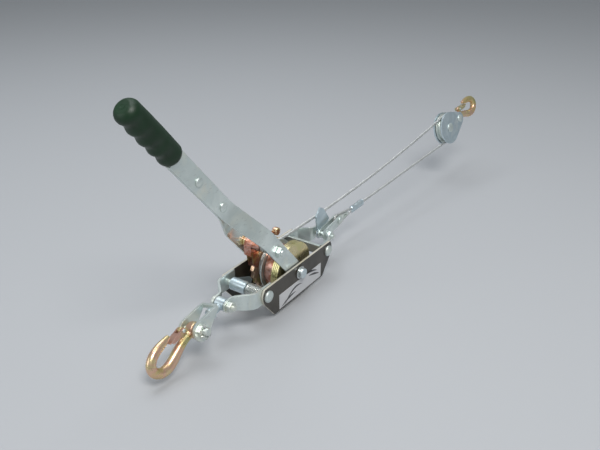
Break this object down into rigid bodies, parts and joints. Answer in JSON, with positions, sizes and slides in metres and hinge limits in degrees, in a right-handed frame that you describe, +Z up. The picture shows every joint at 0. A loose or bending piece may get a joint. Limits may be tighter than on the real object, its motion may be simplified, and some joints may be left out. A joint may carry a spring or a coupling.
{
  "type": "come along winch",
  "caption": "Hand-operated ratchet cable puller: lever handle, drum between side plates, swivel hook at the rear and a cable running to a hooked pulley block.",
  "frame": {"origin": "seat of the rear hook, where the hook bears on its anchor", "axes": "+X along the frame from the rear hook towards the pulley block, +Y across the frame to its left side, +Z up, square to the side plates' top edges"},
  "size_m": [0.9171, 0.0939, 0.3481],
  "materials": {
    "plate": "baked dark brown enamel over steel sheet, satin",
    "label": "printed film label, blank apart from a plain swoosh",
    "zinc": "bright zinc plate, satin",
    "gold": "yellow passivated zinc, iridescent gold to pink",
    "cable": "galvanised stranded wire rope",
    "grip": "moulded dark green vinyl, satin"
  },
  "bodies": {
    "frame": {"side_plate_right": "plate", "side_plate_left": "plate", "name_plate": "label", "rear_cross_bolt": "zinc", "front_cross_bolt": "zinc", "drum_axle": "zinc", "front_tie_bar": "zinc", "rear_strap_right": "zinc", "rear_strap_left": "zinc", "front_strap_right": "zinc", "front_strap_left": "zinc", "rear_yoke_bolt": "zinc", "rear_yoke_nut": "zinc", "front_yoke_bolt": "zinc", "front_yoke_nut": "zinc", "cable_guard": "zinc", "anchor_link_right": "zinc", "anchor_link_left": "zinc", "anchor_pin": "zinc", "thimble": "zinc", "cable_end_loop": "cable", "ferrule": "zinc", "stop_pawl_spring": "zinc", "cable_run_upper": "cable", "cable_run_lower": "cable"},
    "drum": {"laminated_cheek": "gold", "drum_hub": "gold", "drum_flange": "zinc", "cable_spool": "gold", "cable_on_drum": "cable", "ratchet_wheel": "gold"},
    "handle": {"handle_bar_right": "zinc", "handle_bar_left": "zinc", "hand_grip": "grip", "handle_rivet_1": "zinc", "handle_rivet_2": "zinc", "handle_bush_right": "gold", "handle_bush_left": "gold", "drive_pawl_bolt": "zinc", "drive_pawl_nut": "zinc", "drive_pawl_spring": "zinc", "drive_pawl_bush": "gold"},
    "drive_pawl": {"drive_pawl": "gold"},
    "stop_pawl": {"stop_pawl": "zinc"},
    "rear_swivel": {"swivel_stud": "zinc"},
    "rear_clevis": {"rear_clevis": "zinc", "clevis_pin": "zinc", "clevis_nut": "zinc"},
    "rear_hook": {"rear_hook": "gold", "rear_latch_pin": "zinc"},
    "rear_latch": {"rear_latch": "gold"},
    "block": {"block_plate_right": "zinc", "block_plate_left": "zinc", "sheave_axle": "zinc", "front_hook_pin": "zinc", "cable_on_sheave": "cable"},
    "sheave": {"sheave": "zinc"},
    "front_hook": {"front_hook": "gold", "front_latch_pin": "zinc"},
    "front_latch": {"front_latch": "gold"}
  },
  "joints": [
    {"name": "handle_swing", "type": "hinge", "parent": "frame", "child": "handle", "pos_m": [0.25097, 0, 0.01548], "axis": [0, 1, 0], "range_deg": [-18, 75]},
    {"name": "drive_pawl_pivot", "type": "hinge", "parent": "handle", "child": "drive_pawl", "pos_m": [0.2068, 0, 0.06718], "axis": [0, 1, 0], "range_deg": [0, 10], "stiffness_Nm_per_rad": 0.35, "springref_deg": -20.05},
    {"name": "stop_pawl_pivot", "type": "hinge", "parent": "frame", "child": "stop_pawl", "pos_m": [0.17497, 0, 0.01548], "axis": [0, 1, 0], "range_deg": [0, 20], "stiffness_Nm_per_rad": 0.35, "springref_deg": -20.05},
    {"name": "drum_spin", "type": "hinge", "parent": "frame", "child": "drum", "pos_m": [0.25097, 0, 0.01548], "axis": [0, 1, 0], "range_deg": [-1100, 1320]},
    {"name": "block_slide", "type": "slide", "parent": "frame", "child": "block", "axis": [0.9906, -0.0855, 0.107], "range_m": [-0.25, 0.3], "deforming": ["cable_run_upper", "cable_run_lower"]},
    {"name": "sheave_spin", "type": "hinge", "parent": "block", "child": "sheave", "pos_m": [0.78397, -0.032, 0.08248], "axis": [0.1538, 0.9465, -0.2837], "range_deg": [-580, 690]},
    {"name": "rear_yoke_hinge", "type": "hinge", "parent": "frame", "child": "rear_swivel", "pos_m": [0.12297, 0, 0.01948], "axis": [0, 1, 0], "range_deg": [-35, 35]},
    {"name": "rear_swivel_spin", "type": "hinge", "parent": "rear_swivel", "child": "rear_clevis", "pos_m": [0.12297, 0, 0.01948], "axis": [-0.9877, 0, -0.1564], "continuous": true},
    {"name": "rear_hook_pivot", "type": "hinge", "parent": "rear_clevis", "child": "rear_hook", "pos_m": [0.06815, 0, 0.01079], "axis": [-0.0457, -0.9563, 0.2888], "range_deg": [-25, 25]},
    {"name": "rear_latch_pivot", "type": "hinge", "parent": "rear_hook", "child": "rear_latch", "pos_m": [0.04949, 0.00365, 0.01994], "axis": [-0.0457, -0.9563, 0.2888], "range_deg": [0, 16], "stiffness_Nm_per_rad": 0.02, "springref_deg": -34.38},
    {"name": "front_hook_pivot", "type": "hinge", "parent": "block", "child": "front_hook", "pos_m": [0.82312, -0.03542, 0.09227], "axis": [0.1538, 0.9465, -0.2837], "range_deg": [-25, 25]},
    {"name": "front_latch_pivot", "type": "hinge", "parent": "front_hook", "child": "front_latch", "pos_m": [0.83698, -0.03297, 0.10798], "axis": [0.1538, 0.9465, -0.2837], "range_deg": [0, 16], "stiffness_Nm_per_rad": 0.02, "springref_deg": -34.38}
  ],
  "couplings": [
    {"joint": "block_slide", "follows": "drum_spin", "m_per_rad": 0.013},
    {"joint": "sheave_spin", "follows": "drum_spin", "ratio": 0.52}
  ]
}
